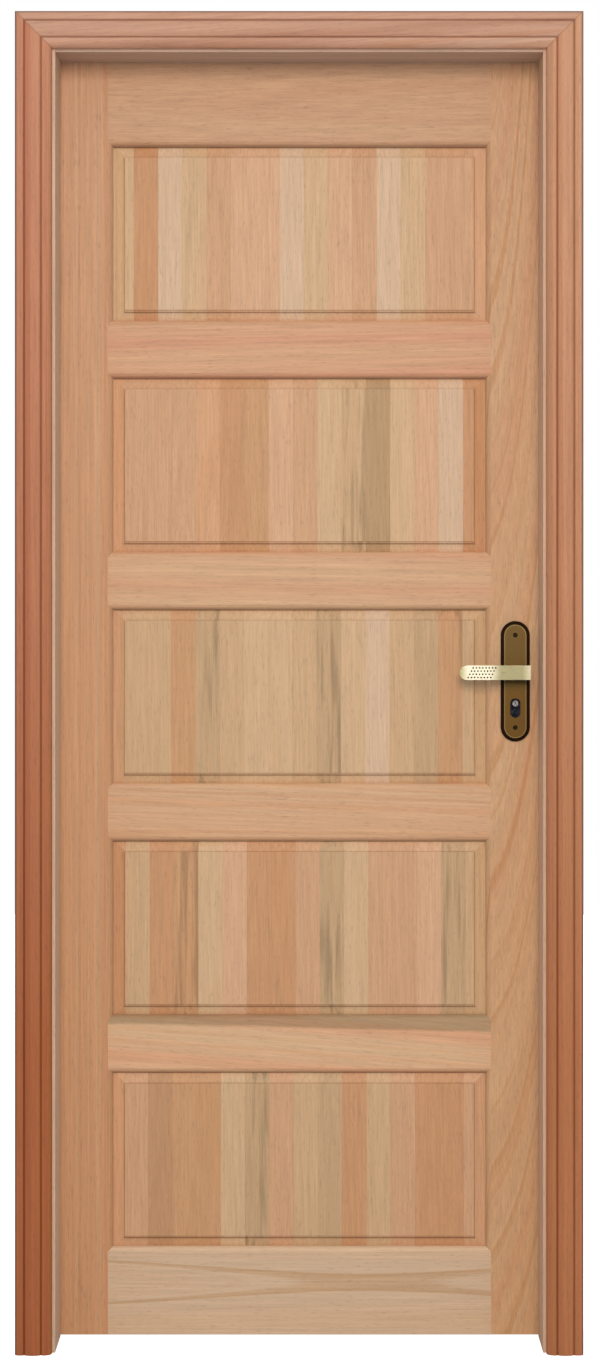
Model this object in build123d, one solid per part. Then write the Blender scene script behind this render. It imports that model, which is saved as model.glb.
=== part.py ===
from build123d import *
import math
import os

# A prehung interior door: a five-panel leaf hung in its jamb, with casings, hinges, lock and levers.
# Millimetres. +Z is up, +X runs from the hinges to the lock, and the leaf opens towards +Y.

# Leaf
LEAF_WIDTH = 800.0
LEAF_HEIGHT = 2100.0
LEAF_THICKNESS = 35.0
EDGE_GAP = 3.0
FLOOR_GAP = 3.0
STOP_GAP = 1.0

# Stiles, rails and their joints
STILE_WIDTH = 92.5
TOP_RAIL = 145.0
BOTTOM_RAIL = 144.0
CROSS_RAIL = 95.0
CROSS_RAIL_COUNT = 4
STICKING_WIDTH = 8.0
STICKING_DEPTH = 8.0
STICKING_RISE = 1.2
GROOVE_WIDTH = 10.0
GROOVE_DEPTH = 12.0
TENON_LENGTH = 45.0
JOINT_GAP = 0.1

# Raised panels
PANEL_TONGUE = 9.0
PANEL_PLAY = 0.2
PANEL_SIDE_MARGIN = 20.0
PANEL_END_MARGIN = 17.5
PANEL_SLOPE = 17.0
PANEL_STEP_DEPTH = 7.0
PANEL_FIELD_DEPTH = 4.0

# Jambs
JAMB_THICKNESS = 30.0
JAMB_DEPTH = 140.0
REBATE_DEPTH = 10.0

# Casings
CASING_WIDTH = 59.0
CASING_THICKNESS = 20.0
CASING_BAND = 17.5
CASING_OUTER_EDGE = 10.5
CASING_INNER_EDGE = 8.0
CASING_OUTER_ROUND = 6.0
CASING_OUTER_BAND = 13.0
CASING_INNER_BAND = 14.5
QUIRK_WIDTH = 4.5
QUIRK_DEPTH = 2.4
FRONT_REVEAL = 5.0
BACK_REVEAL = 6.0

# Butt hinges
HINGE_HEIGHT = 89.0
HINGE_INSET = 200.0
HINGE_PLATE_WIDTH = 28.0
HINGE_PLATE_THICKNESS = 2.4
BARREL_RADIUS = 5.5
BARREL_FACETS = 12
PIN_RADIUS = 3.0
PIN_SETBACK = 8.0
PIN_HEAD_RADIUS = 5.0
PIN_HEAD_HEIGHT = 3.0
PIN_TAIL = 2.0
KNUCKLE_COUNT = 3
KNUCKLE_GAP = 0.2
HINGE_SCREW_COUNT = 3
HINGE_SCREW_EDGE = 14.0
HINGE_SCREW_LENGTH = 16.0

# Lever set
LEVER_HEIGHT = 1094.0
BACKSET = 45.0
PLATE_WIDTH = 48.0
PLATE_HEIGHT = 198.0
PLATE_BASE = 3.0
PLATE_THICKNESS = 4.5
PLATE_RIM = 5.5
PLATE_TOP_ABOVE_AXIS = 83.0
PLATE_SCREW_INSET = 23.0
PLATE_SCREW_LENGTH = 14.0
LEVER_REACH = 52.0
LEVER_TIP = 94.0
LEVER_TAIL = 22.0
LEVER_BAR_HEIGHT = 23.6
LEVER_BAR_THICKNESS = 6.5
NECK_RADIUS = 9.0
SPINDLE_SIDE = 8.0
SPINDLE_SOCKET = 20.0
HOLE_ROWS = 4
HOLES_PER_ROW = 8
HOLE_PITCH = 5.25
HOLE_ROW_PITCH = 5.2
HOLE_SKEW = 2.65
HOLE_RADIUS = 1.45
HOLE_DEPTH = 2.5
HOLE_FACETS = 6
HOLE_FIELD_CENTRE = 57.5

# Mortise lock and key cylinder
CASE_DEPTH = 66.0
CASE_THICKNESS = 15.0
CASE_ABOVE_AXIS = 50.0
CASE_BELOW_PLUG = 32.0
FACEPLATE_HEIGHT = 200.0
FACEPLATE_WIDTH = 22.0
FACEPLATE_THICKNESS = 3.0
FACEPLATE_SCREW_INSET = 11.0
FACEPLATE_SCREW_LENGTH = 22.0
LOCK_CENTRES = 52.5
FOLLOWER_RADIUS = 10.0
SPINDLE_HOLE_RADIUS = 12.0
LATCH_ABOVE_AXIS = 18.0
LATCH_HEIGHT = 18.0
LATCH_WIDTH = 12.0
LATCH_LENGTH = 30.0
LATCH_THROW = 11.0
LATCH_NOSE = 2.0
LATCH_TAIL_SIDE = 7.0
LATCH_TAIL_LENGTH = 20.0
BOLT_BELOW_AXIS = 26.0
BOLT_HEIGHT = 20.0
BOLT_WIDTH = 10.0
BOLT_LENGTH = 34.0
BOLT_THROW = 12.0
CYLINDER_WIDTH = 16.0
CYLINDER_HEIGHT = 31.0
CYLINDER_PROUD = 1.5
PLUG_RADIUS = 5.0
KEYWAY_WIDTH = 1.6
KEYWAY_HEIGHT = 7.0
KEYWAY_DEPTH = 12.0
CAM_WIDTH = 9.0
CAM_RADIUS = 7.5
CAM_REACH = 12.0
CAM_NOSE = 6.0
CAM_ROOM = 0.6
CYLINDER_SCREW_RADIUS = 2.5
CYLINDER_SCREW_BITE = 5.0

# Strike plate
STRIKE_WIDTH = 22.0
STRIKE_HEIGHT = 170.0
STRIKE_THICKNESS = 2.0
STRIKE_LIP = 1.5
STRIKE_SCREW_INSET = 12.0
STRIKE_SCREW_LENGTH = 15.0
POCKET_ROOM = 1.5

# Screws
SCREW_RADIUS = 2.0
SCREW_HEAD_RADIUS = 4.0
SCREW_HEAD_HEIGHT = 2.0
SCREW_FACETS = 6
CORNER_SCREW_LENGTH = 60.0
CORNER_SCREW_INSET = 35.0

# Fits and flats
TURNED_FACETS = 16
RUN_CLEARANCE = 0.05
SLIDE_CLEARANCE = 0.3
SCREW_CLEARANCE = 0.1

# Places worked out from the sizes above
overall_depth = CASING_THICKNESS + JAMB_DEPTH + LEVER_REACH
jamb_front = CASING_THICKNESS - overall_depth / 2
jamb_back = jamb_front + JAMB_DEPTH
leaf_back = jamb_back
leaf_front = leaf_back - LEAF_THICKNESS
leaf_mid = leaf_back - LEAF_THICKNESS / 2
leaf_edge = LEAF_WIDTH / 2
leaf_bottom = FLOOR_GAP
leaf_top = leaf_bottom + LEAF_HEIGHT
cheek_x = leaf_edge + EDGE_GAP
stop_x = cheek_x - REBATE_DEPTH
jamb_outer_x = stop_x + JAMB_THICKNESS
cheek_z = leaf_top + EDGE_GAP
soffit_z = cheek_z - REBATE_DEPTH
jamb_top = soffit_z + JAMB_THICKNESS
stop_back = leaf_front - STOP_GAP
sight_x = leaf_edge - STILE_WIDTH
opening_width = 2 * sight_x
rails_height = TOP_RAIL + BOTTOM_RAIL + CROSS_RAIL_COUNT * CROSS_RAIL
panel_count = CROSS_RAIL_COUNT + 1
opening_height = (LEAF_HEIGHT - rails_height) / panel_count
axis_x = leaf_edge - BACKSET
plug_z = LEVER_HEIGHT - LOCK_CENTRES
latch_z = LEVER_HEIGHT + LATCH_ABOVE_AXIS
bolt_z = LEVER_HEIGHT - BOLT_BELOW_AXIS
pin_x = -(leaf_edge + cheek_x) / 2
pin_y = leaf_back + PIN_SETBACK

LEAF_MIDDLE = Plane((0, leaf_mid, 0), x_dir=(1, 0, 0), z_dir=(0, 1, 0))


def span_box(low, high):
    """A box between two opposite corners."""
    size = [b - a for a, b in zip(low, high)]
    middle = [(a + b) / 2 for a, b in zip(low, high)]
    return Pos(*middle) * Box(*size)


def rod(radius, start, end):
    """A turned bar from one point to another, its round drawn as flats."""
    along = Vector(*end) - Vector(*start)
    return Plane(start, z_dir=along) * extrude(RegularPolygon(radius, TURNED_FACETS), along.length)


def bore(radius, start, end):
    """The hole that a turned bar runs in, its flats no nearer than the radius."""
    along = Vector(*end) - Vector(*start)
    section = RegularPolygon(radius, TURNED_FACETS, major_radius=False)
    return Plane(start, z_dir=along) * extrude(section, along.length)


def screw(length, room=0):
    """A countersunk screw with its head at the origin, larger all round by any room it is given."""
    flare = (SCREW_HEAD_RADIUS - SCREW_RADIUS) * math.cos(math.pi / SCREW_FACETS)
    taper = math.degrees(math.atan(flare / SCREW_HEAD_HEIGHT))
    head = extrude(RegularPolygon(SCREW_HEAD_RADIUS + room, SCREW_FACETS), SCREW_HEAD_HEIGHT, taper=taper)
    return head + extrude(RegularPolygon(SCREW_RADIUS + room, SCREW_FACETS), length + room)


def screw_hole(length):
    """The countersunk hole that a screw of this length sits in."""
    return screw(length, SCREW_CLEARANCE)


def drilling(radius, start, end):
    """A drilled hole, or the screw in it, from one point to another."""
    along = Vector(*end) - Vector(*start)
    return Plane(start, z_dir=along) * extrude(RegularPolygon(radius, SCREW_FACETS), along.length)


def set_in(places, inward, piece):
    """Copies of a piece at each place, driven inward."""
    return [Plane(place, z_dir=inward) * piece for place in places]


def sticking(grooved):
    """What the shaper takes off an inner edge at x = 0: two ovolo corners and the panel groove."""
    face = LEAF_THICKNESS / 2
    half_width, half_depth = STICKING_WIDTH / 2, STICKING_DEPTH / 2
    bulge = STICKING_RISE / math.hypot(STICKING_WIDTH, STICKING_DEPTH)
    start = (-STICKING_WIDTH, face)
    middle = (bulge * STICKING_DEPTH - half_width, face - half_depth + bulge * STICKING_WIDTH)
    end = (0, face - STICKING_DEPTH)
    corner = make_face(ThreePointArc(start, middle, end) + Polyline(end, (0, face), start))
    cutter = corner + mirror(corner, about=Plane.XZ)
    if grooved:
        cutter += Pos(-GROOVE_DEPTH / 2, 0) * Rectangle(GROOVE_DEPTH, GROOVE_WIDTH)
    return cutter


def stile_blank(grooved):
    """The hinge stile as it leaves the shaper, before mortises."""
    section = Pos(STILE_WIDTH / 2 - leaf_edge, leaf_mid) * Rectangle(STILE_WIDTH, LEAF_THICKNESS)
    section -= Pos(-sight_x, leaf_mid) * sticking(grooved)
    return extrude(Pos(0, 0, leaf_bottom) * section, LEAF_HEIGHT)


def tenon_span(low, height):
    """Lower and upper edge of a rail's tenon, inside its panel grooves."""
    bottom = low + GROOVE_DEPTH + JOINT_GAP
    top = low + height - GROOVE_DEPTH - JOINT_GAP
    return bottom, top


def rail(low, height, stuck_low, stuck_high):
    """A rail moulded along its panel edges, coped over both stiles, with a tenon at each end."""
    section = Rectangle(height, LEAF_THICKNESS)
    if stuck_high:
        section -= Pos(height / 2, 0) * sticking(True)
    if stuck_low:
        section -= Pos(-height / 2, 0) * Rot(0, 0, 180) * sticking(True)
    across = Plane((0, leaf_mid, low + height / 2), x_dir=(0, 0, 1), z_dir=(-1, 0, 0))
    body = extrude(across * section, sight_x + STICKING_WIDTH, both=True)
    coping = Pos(JOINT_GAP, 0, 0) * stile_blank(False)
    body = body - coping - mirror(coping, about=Plane.YZ)
    bottom, top = tenon_span(low, height)
    half = GROOVE_WIDTH / 2 - JOINT_GAP
    reach = sight_x + TENON_LENGTH
    return body + span_box((-reach, leaf_mid - half, bottom), (reach, leaf_mid + half, top))


def mortise(low, height):
    """The slot in the hinge stile that takes a rail's tenon."""
    bottom, top = tenon_span(low, height)
    half = GROOVE_WIDTH / 2
    deep = -sight_x - TENON_LENGTH - JOINT_GAP
    return span_box((deep, leaf_mid - half, bottom - JOINT_GAP), (-sight_x, leaf_mid + half, top + JOINT_GAP))


def raised_panel(low):
    """A raised panel: a tongue in the grooves, a sloped margin, and a stepped field on both faces."""
    high = low + opening_height
    half_tongue = GROOVE_WIDTH / 2 - PANEL_PLAY
    reach = sight_x + PANEL_TONGUE
    body = span_box(
        (-reach, leaf_mid - half_tongue, low - GROOVE_DEPTH),
        (reach, leaf_mid + half_tongue, high + PANEL_TONGUE),
    )
    field_width = opening_width - 2 * PANEL_SIDE_MARGIN
    field_height = opening_height - 2 * PANEL_END_MARGIN
    rise = LEAF_THICKNESS / 2 - PANEL_STEP_DEPTH - half_tongue
    taper = math.degrees(math.atan(PANEL_SLOPE / rise))
    base = Rectangle(field_width + 2 * PANEL_SLOPE, field_height + 2 * PANEL_SLOPE)
    seat = Plane((0, leaf_mid - half_tongue, (low + high) / 2), x_dir=(1, 0, 0), z_dir=(0, -1, 0))
    margin = extrude(seat * base, rise, taper=taper)
    field = extrude(seat * Rectangle(field_width, field_height), rise + PANEL_STEP_DEPTH - PANEL_FIELD_DEPTH)
    front = margin + field
    return body + front + mirror(front, about=LEAF_MIDDLE)


def casing_section():
    """A casing's section: x from its outer edge, y out from the wall."""
    first = CASING_OUTER_BAND
    second = CASING_WIDTH - CASING_INNER_BAND
    round_share = math.sin(math.radians(45))
    outer = (0, CASING_OUTER_EDGE)
    outer_middle = (
        CASING_OUTER_ROUND * (1 - round_share),
        CASING_OUTER_EDGE + (CASING_BAND - CASING_OUTER_EDGE) * round_share,
    )
    outer_end = (CASING_OUTER_ROUND, CASING_BAND)
    bead_middle = (
        second + CASING_INNER_BAND * round_share,
        CASING_INNER_EDGE + (CASING_BAND - CASING_INNER_EDGE) * round_share,
    )
    inner = (CASING_WIDTH, CASING_INNER_EDGE)
    quirk_floor = CASING_BAND - QUIRK_DEPTH
    field_start = (first + QUIRK_WIDTH, CASING_BAND)
    field_end = (second - QUIRK_WIDTH, CASING_BAND)
    field_middle = ((field_start[0] + field_end[0]) / 2, CASING_THICKNESS)
    outline = Polyline(inner, (CASING_WIDTH, 0), (0, 0), outer)
    outline += ThreePointArc(outer, outer_middle, outer_end)
    outline += Polyline(
        outer_end, (first, CASING_BAND), (first + QUIRK_WIDTH / 2, quirk_floor), field_start
    )
    outline += ThreePointArc(field_start, field_middle, field_end)
    outline += Polyline(field_end, (second - QUIRK_WIDTH / 2, quirk_floor), (second, CASING_BAND))
    outline += ThreePointArc((second, CASING_BAND), bead_middle, inner)
    return make_face(outline)


def casing_set(inner_x, inner_z, wall_y, outward):
    """Two uprights and a head, mitred at the corners, standing out from the wall plane."""
    outer_x = inner_x + CASING_WIDTH
    top = inner_z + CASING_WIDTH
    mitre = Plane((-outer_x, 0, top), z_dir=(1, 0, 1))
    foot = Plane((-outer_x, wall_y, 0), x_dir=(1, 0, 0), z_dir=(0, 0, outward))
    upright = extrude(foot * casing_section(), top, dir=(0, 0, 1))
    upright = split(upright, bisect_by=mitre, keep=Keep.BOTTOM)
    across = Plane((0, wall_y, top), x_dir=(0, 0, -1), z_dir=(outward, 0, 0))
    head = extrude(across * casing_section(), outer_x, both=True)
    head = split(head, bisect_by=mitre, keep=Keep.TOP)
    head = split(head, bisect_by=Plane((outer_x, 0, top), z_dir=(-1, 0, 1)), keep=Keep.TOP)
    return upright, mirror(upright, about=Plane.YZ), head


pieces = {}

# Casings
front_set = casing_set(stop_x + FRONT_REVEAL, soffit_z + FRONT_REVEAL, jamb_front, -1)
back_set = casing_set(cheek_x + BACK_REVEAL, cheek_z + BACK_REVEAL, jamb_back, 1)
for side, casings in (("front", front_set), ("back", back_set)):
    for place, casing in zip(("hinge_side", "strike_side", "head"), casings):
        pieces[f"{side}_casing_{place}"] = casing

# Jambs
jamb_outline = Polyline(
    (-jamb_outer_x, jamb_front),
    (-stop_x, jamb_front),
    (-stop_x, stop_back),
    (-cheek_x, stop_back),
    (-cheek_x, jamb_back),
    (-jamb_outer_x, jamb_back),
    close=True,
)
hinge_jamb = extrude(make_face(jamb_outline), jamb_top)
strike_jamb = mirror(hinge_jamb, about=Plane.YZ)
head_outline = Polyline(
    (jamb_front, soffit_z),
    (jamb_front, jamb_top),
    (jamb_back, jamb_top),
    (jamb_back, cheek_z),
    (stop_back, cheek_z),
    (stop_back, soffit_z),
    close=True,
)
head_jamb = extrude(Plane.YZ * make_face(head_outline), cheek_x, both=True)
head_jamb = head_jamb - hinge_jamb - strike_jamb

# Corner screws, two through each side jamb into the end of the head
corner_z = (cheek_z + jamb_top) / 2
corner_screws = []
for side in (-1, 1):
    places = [
        (side * jamb_outer_x, y, corner_z)
        for y in (jamb_front + CORNER_SCREW_INSET, jamb_back - CORNER_SCREW_INSET)
    ]
    corner_screws += set_in(places, (-side, 0, 0), screw(CORNER_SCREW_LENGTH))
    holes = set_in(places, (-side, 0, 0), screw_hole(CORNER_SCREW_LENGTH))
    head_jamb -= holes
    if side < 0:
        hinge_jamb -= holes
    else:
        strike_jamb -= holes
pieces["frame_corner_screws"] = Compound(children=corner_screws)

# Leaf joinery: rails from the bottom up, with a panel above each but the last
rail_heights = [BOTTOM_RAIL] + [CROSS_RAIL] * CROSS_RAIL_COUNT + [TOP_RAIL]
rail_names = ["bottom_rail"] + [f"cross_rail_{CROSS_RAIL_COUNT - i}" for i in range(CROSS_RAIL_COUNT)]
rail_names.append("top_rail")
hinge_stile = stile_blank(True)
low = leaf_bottom
for index, (name, height) in enumerate(zip(rail_names, rail_heights)):
    from_top = len(rail_heights) - 1 - index
    pieces[name] = rail(low, height, index > 0, from_top > 0)
    hinge_stile -= mortise(low, height)
    low += height
    if from_top > 0:
        pieces[f"panel_{from_top}"] = raised_panel(low)
        low += opening_height
lock_stile = mirror(hinge_stile, about=Plane.YZ)

# Butt hinges: the jamb's plates carry the odd knuckles and the leaf's plates the even ones
knuckle_length = (HINGE_HEIGHT - (KNUCKLE_COUNT - 1) * KNUCKLE_GAP) / KNUCKLE_COUNT
hinge_span = LEAF_HEIGHT - 2 * HINGE_INSET
plate_inner_y = leaf_back - HINGE_PLATE_WIDTH


def hinge_plate(middle_z, inner_x, outer_x, knuckles):
    """A hinge plate with its share of the knuckles, bored for the pin."""
    bottom = middle_z - HINGE_HEIGHT / 2
    plate = span_box((inner_x, plate_inner_y, bottom), (outer_x, leaf_back, bottom + HINGE_HEIGHT))
    for index in knuckles:
        start = bottom + index * (knuckle_length + KNUCKLE_GAP)
        plate += span_box((inner_x, leaf_back, start), (outer_x, pin_y, start + knuckle_length))
        barrel = RegularPolygon(BARREL_RADIUS, BARREL_FACETS)
        plate += extrude(Pos(pin_x, pin_y, start) * barrel, knuckle_length)
    top = bottom + HINGE_HEIGHT
    return plate - bore(PIN_RADIUS + RUN_CLEARANCE, (pin_x, pin_y, bottom), (pin_x, pin_y, top))


def hinge_pin(middle_z):
    """A hinge pin hanging by its head on the top knuckle."""
    top = middle_z + HINGE_HEIGHT / 2
    shank = rod(PIN_RADIUS, (pin_x, pin_y, top - HINGE_HEIGHT - PIN_TAIL), (pin_x, pin_y, top))
    head = RegularPolygon(PIN_HEAD_RADIUS, BARREL_FACETS)
    return shank + extrude(Pos(pin_x, pin_y, top) * head, PIN_HEAD_HEIGHT)


jamb_screws, door_screws = [], []
jamb_plate_x = -cheek_x - HINGE_PLATE_THICKNESS
leaf_plate_x = -leaf_edge + HINGE_PLATE_THICKNESS
screw_y = plate_inner_y + HINGE_PLATE_WIDTH / 2
hinge_places = ("bottom", "middle", "top")
for index, place in enumerate(hinge_places):
    middle_z = leaf_bottom + HINGE_INSET + index * hinge_span / (len(hinge_places) - 1)
    jamb_plate = hinge_plate(middle_z, jamb_plate_x, -cheek_x, range(0, KNUCKLE_COUNT, 2))
    leaf_plate = hinge_plate(middle_z, -leaf_edge, leaf_plate_x, range(1, KNUCKLE_COUNT, 2))
    seat_low, seat_high = middle_z - HINGE_HEIGHT / 2, middle_z + HINGE_HEIGHT / 2
    hinge_jamb -= span_box((jamb_plate_x, plate_inner_y, seat_low), (-cheek_x, leaf_back, seat_high))
    hinge_stile -= span_box((-leaf_edge, plate_inner_y, seat_low), (leaf_plate_x, leaf_back, seat_high))
    screw_pitch = (HINGE_HEIGHT - 2 * HINGE_SCREW_EDGE) / (HINGE_SCREW_COUNT - 1)
    heights = [seat_low + HINGE_SCREW_EDGE + step * screw_pitch for step in range(HINGE_SCREW_COUNT)]
    jamb_places = [(-cheek_x, screw_y, z) for z in heights]
    leaf_places = [(-leaf_edge, screw_y, z) for z in heights]
    jamb_holes = set_in(jamb_places, (-1, 0, 0), screw_hole(HINGE_SCREW_LENGTH))
    leaf_holes = set_in(leaf_places, (1, 0, 0), screw_hole(HINGE_SCREW_LENGTH))
    jamb_screws += set_in(jamb_places, (-1, 0, 0), screw(HINGE_SCREW_LENGTH))
    door_screws += set_in(leaf_places, (1, 0, 0), screw(HINGE_SCREW_LENGTH))
    hinge_jamb -= jamb_holes
    hinge_stile -= leaf_holes
    pieces[f"jamb_hinge_plate_{place}"] = jamb_plate - jamb_holes
    pieces[f"leaf_hinge_plate_{place}"] = leaf_plate - leaf_holes
    pieces[f"hinge_pin_{place}"] = hinge_pin(middle_z)
pieces["jamb_hinge_screws"] = Compound(children=jamb_screws)
pieces["leaf_hinge_screws"] = Compound(children=door_screws)

# Long plate: a stadium with a low dark rim round a raised field
FRONT_FACE = Plane((axis_x, leaf_front, LEVER_HEIGHT), x_dir=(1, 0, 0), z_dir=(0, -1, 0))
plate_mid = PLATE_TOP_ABOVE_AXIS - PLATE_HEIGHT / 2
plate_slot = SlotOverall(PLATE_HEIGHT, PLATE_WIDTH, rotation=90)
plate_base = extrude(FRONT_FACE * Pos(0, plate_mid) * plate_slot, PLATE_BASE)
field_slot = SlotOverall(PLATE_HEIGHT - 2 * PLATE_RIM, PLATE_WIDTH - 2 * PLATE_RIM, rotation=90)
plate_field = extrude(FRONT_FACE * Pos(0, plate_mid) * field_slot, PLATE_THICKNESS)
plate_front = leaf_front - PLATE_THICKNESS
plate_half = PLATE_HEIGHT / 2 - PLATE_SCREW_INSET
plate_screw_places = [
    (axis_x, plate_front, LEVER_HEIGHT + plate_mid + side * plate_half) for side in (1, -1)
]
plate_screw_holes = set_in(plate_screw_places, (0, 1, 0), screw_hole(PLATE_SCREW_LENGTH))
plate_screws = set_in(plate_screw_places, (0, 1, 0), screw(PLATE_SCREW_LENGTH))
cylinder_room = SlotOverall(
    CYLINDER_HEIGHT + 2 * SLIDE_CLEARANCE, CYLINDER_WIDTH + 2 * SLIDE_CLEARANCE, rotation=90
)
cylinder_drop = (CYLINDER_WIDTH - CYLINDER_HEIGHT) / 2
cylinder_seat = Pos(0, -LOCK_CENTRES + cylinder_drop)
front_plate = plate_base + plate_field
front_plate -= bore(
    NECK_RADIUS + RUN_CLEARANCE, (axis_x, leaf_front, LEVER_HEIGHT), (axis_x, plate_front, LEVER_HEIGHT)
)
front_plate -= extrude(FRONT_FACE * cylinder_seat * cylinder_room, PLATE_THICKNESS)
front_plate -= plate_screw_holes
pieces["front_plate"] = front_plate
pieces["back_plate"] = mirror(front_plate, about=LEAF_MIDDLE)
pieces["front_plate_screws"] = Compound(children=plate_screws)
pieces["back_plate_screws"] = Compound(children=[mirror(one, about=LEAF_MIDDLE) for one in plate_screws])

# Lever: a flat bar, round at the tip and square behind the neck, with a skewed field of blind holes
bar_front = leaf_front - LEVER_REACH
half_bar = LEVER_BAR_HEIGHT / 2
tip_centre = half_bar - LEVER_TIP
bar_outline = Polyline(
    (tip_centre, half_bar), (LEVER_TAIL, half_bar), (LEVER_TAIL, -half_bar), (tip_centre, -half_bar)
)
bar_outline += ThreePointArc((tip_centre, -half_bar), (-LEVER_TIP, 0), (tip_centre, half_bar))
bar_face = Plane((axis_x, bar_front, LEVER_HEIGHT), x_dir=(1, 0, 0), z_dir=(0, -1, 0))
bar = extrude(bar_face * make_face(bar_outline), -LEVER_BAR_THICKNESS)
neck_start = leaf_front - RUN_CLEARANCE
neck_end = bar_front + LEVER_BAR_THICKNESS
lever = bar + rod(NECK_RADIUS, (axis_x, neck_start, LEVER_HEIGHT), (axis_x, neck_end, LEVER_HEIGHT))
socket_half = SPINDLE_SIDE / 2 + JOINT_GAP
socket_end = leaf_front - SPINDLE_SOCKET - JOINT_GAP
lever -= span_box(
    (axis_x - socket_half, socket_end, LEVER_HEIGHT - socket_half),
    (axis_x + socket_half, leaf_front, LEVER_HEIGHT + socket_half),
)
hole = extrude(RegularPolygon(HOLE_RADIUS, HOLE_FACETS), HOLE_DEPTH)
hole_places = []
for row in range(HOLE_ROWS):
    row_step = (HOLE_ROWS - 1) / 2 - row
    for column in range(HOLES_PER_ROW):
        column_step = column - (HOLES_PER_ROW - 1) / 2
        offset = column_step * HOLE_PITCH + row_step * HOLE_SKEW - HOLE_FIELD_CENTRE
        hole_places.append((axis_x + offset, bar_front, LEVER_HEIGHT + row_step * HOLE_ROW_PITCH))
lever -= set_in(hole_places, (0, 1, 0), hole)
pieces["lever_front"] = lever
pieces["lever_back"] = mirror(lever, about=LEAF_MIDDLE)

# Spindle and follower
spindle_half = SPINDLE_SIDE / 2
pieces["spindle"] = span_box(
    (axis_x - spindle_half, leaf_front - SPINDLE_SOCKET, LEVER_HEIGHT - spindle_half),
    (axis_x + spindle_half, leaf_back + SPINDLE_SOCKET, LEVER_HEIGHT + spindle_half),
)
case_front, case_back = leaf_mid - CASE_THICKNESS / 2, leaf_mid + CASE_THICKNESS / 2
follower = rod(FOLLOWER_RADIUS, (axis_x, case_front, LEVER_HEIGHT), (axis_x, case_back, LEVER_HEIGHT))
pieces["follower"] = follower - span_box(
    (axis_x - socket_half, case_front, LEVER_HEIGHT - socket_half),
    (axis_x + socket_half, case_back, LEVER_HEIGHT + socket_half),
)

# Key cylinder: an oval body cut across the middle for the cam, with a plug at each end
cylinder_front = plate_front - CYLINDER_PROUD
cylinder_length = 2 * (leaf_mid - cylinder_front)
cylinder_face = Plane((axis_x, cylinder_front, LEVER_HEIGHT), x_dir=(1, 0, 0), z_dir=(0, -1, 0))
oval = SlotOverall(CYLINDER_HEIGHT, CYLINDER_WIDTH, rotation=90)
cylinder = extrude(cylinder_face * cylinder_seat * oval, -cylinder_length)
cam_gap = CAM_WIDTH / 2 + CAM_ROOM
cam_swing = CAM_REACH + CAM_ROOM
cam_room = span_box(
    (axis_x - cam_swing, leaf_mid - cam_gap, plug_z - cam_swing),
    (axis_x + cam_swing, leaf_mid + cam_gap, plug_z + cam_swing),
)
plug_bore = bore(
    PLUG_RADIUS + RUN_CLEARANCE,
    (axis_x, cylinder_front, plug_z),
    (axis_x, cylinder_front + cylinder_length, plug_z),
)
lower_body = CYLINDER_HEIGHT - CYLINDER_WIDTH / 2
cylinder_screw_z = plug_z - (cam_swing + lower_body) / 2
screw_thread_end = (axis_x - CYLINDER_SCREW_BITE, leaf_mid, cylinder_screw_z)
screw_mouth = (leaf_edge, leaf_mid, cylinder_screw_z)
cylinder_screw_hole = drilling(CYLINDER_SCREW_RADIUS + SCREW_CLEARANCE, screw_thread_end, screw_mouth)
pieces["cylinder_body"] = cylinder - cam_room - plug_bore - cylinder_screw_hole
pieces["cylinder_screw"] = drilling(CYLINDER_SCREW_RADIUS, screw_thread_end, screw_mouth)
plug_end = leaf_mid - CAM_WIDTH / 2


def key_plug(inner_end):
    """A key plug at the front of the cylinder, slotted for the key."""
    keyway_half = KEYWAY_WIDTH / 2
    plug = rod(PLUG_RADIUS, (axis_x, cylinder_front, plug_z), (axis_x, inner_end, plug_z))
    return plug - span_box(
        (axis_x - keyway_half, cylinder_front, plug_z - KEYWAY_HEIGHT / 2),
        (axis_x + keyway_half, cylinder_front + KEYWAY_DEPTH, plug_z + KEYWAY_HEIGHT / 2),
    )


pieces["front_key_plug"] = key_plug(plug_end)
pieces["back_key_plug"] = mirror(key_plug(plug_end - CAM_ROOM), about=LEAF_MIDDLE)
cam = rod(CAM_RADIUS, (axis_x, plug_end, plug_z), (axis_x, plug_end + CAM_WIDTH, plug_z))
cam_half = CAM_NOSE / 2
pieces["cylinder_cam"] = cam + span_box(
    (axis_x - cam_half, plug_end, plug_z),
    (axis_x + cam_half, plug_end + CAM_WIDTH, plug_z + CAM_REACH - CAM_ROOM),
)

# Mortise lock: faceplate, case, and the two bolts drawn back inside it
faceplate_back = leaf_edge - FACEPLATE_THICKNESS
case_deep = faceplate_back - CASE_DEPTH
case_low, case_high = plug_z - CASE_BELOW_PLUG, LEVER_HEIGHT + CASE_ABOVE_AXIS
faceplate_low = (case_low + case_high - FACEPLATE_HEIGHT) / 2
faceplate_high = faceplate_low + FACEPLATE_HEIGHT


def bolt_bar(length, width, height, middle_z, room):
    """A bolt's bar flush with the faceplate, or the way it slides in."""
    half_width, half_height = width / 2 + room, height / 2 + room
    return span_box(
        (leaf_edge - length - room, leaf_mid - half_width, middle_z - half_height),
        (leaf_edge, leaf_mid + half_width, middle_z + half_height),
    )


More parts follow.
